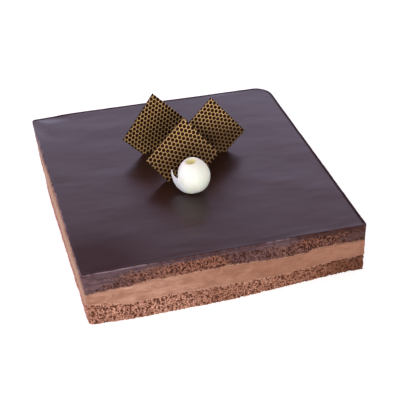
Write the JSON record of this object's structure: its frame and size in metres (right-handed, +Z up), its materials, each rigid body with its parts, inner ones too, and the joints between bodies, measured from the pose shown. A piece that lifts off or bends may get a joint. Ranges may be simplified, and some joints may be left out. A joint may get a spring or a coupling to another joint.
{
  "type": "opera cake",
  "caption": "Square opera cake of chocolate sponge and mousse layers under a dark glaze, with printed chocolate squares and a white chocolate curl on top.",
  "frame": {"origin": "middle of the cake's foot, on the surface it stands on", "axes": "+Z up, -Y towards the cut front face, +X towards the right side"},
  "size_m": [0.2452, 0.2464, 0.1051],
  "materials": {
    "sponge": "matte, open crumb",
    "mousse": "satin, cut smooth",
    "glaze": "glossy, slightly streaked",
    "printed_chocolate": "satin, gold honeycomb print on dark chocolate",
    "white_chocolate": "satin"
  },
  "bodies": {
    "root": {"lower_sponge": "sponge", "mousse": "mousse", "upper_sponge": "sponge", "glaze": "glaze", "chocolate_square_left": "printed_chocolate", "chocolate_square_center": "printed_chocolate", "chocolate_square_right": "printed_chocolate", "white_curl": "white_chocolate"}
  },
  "joints": []
}
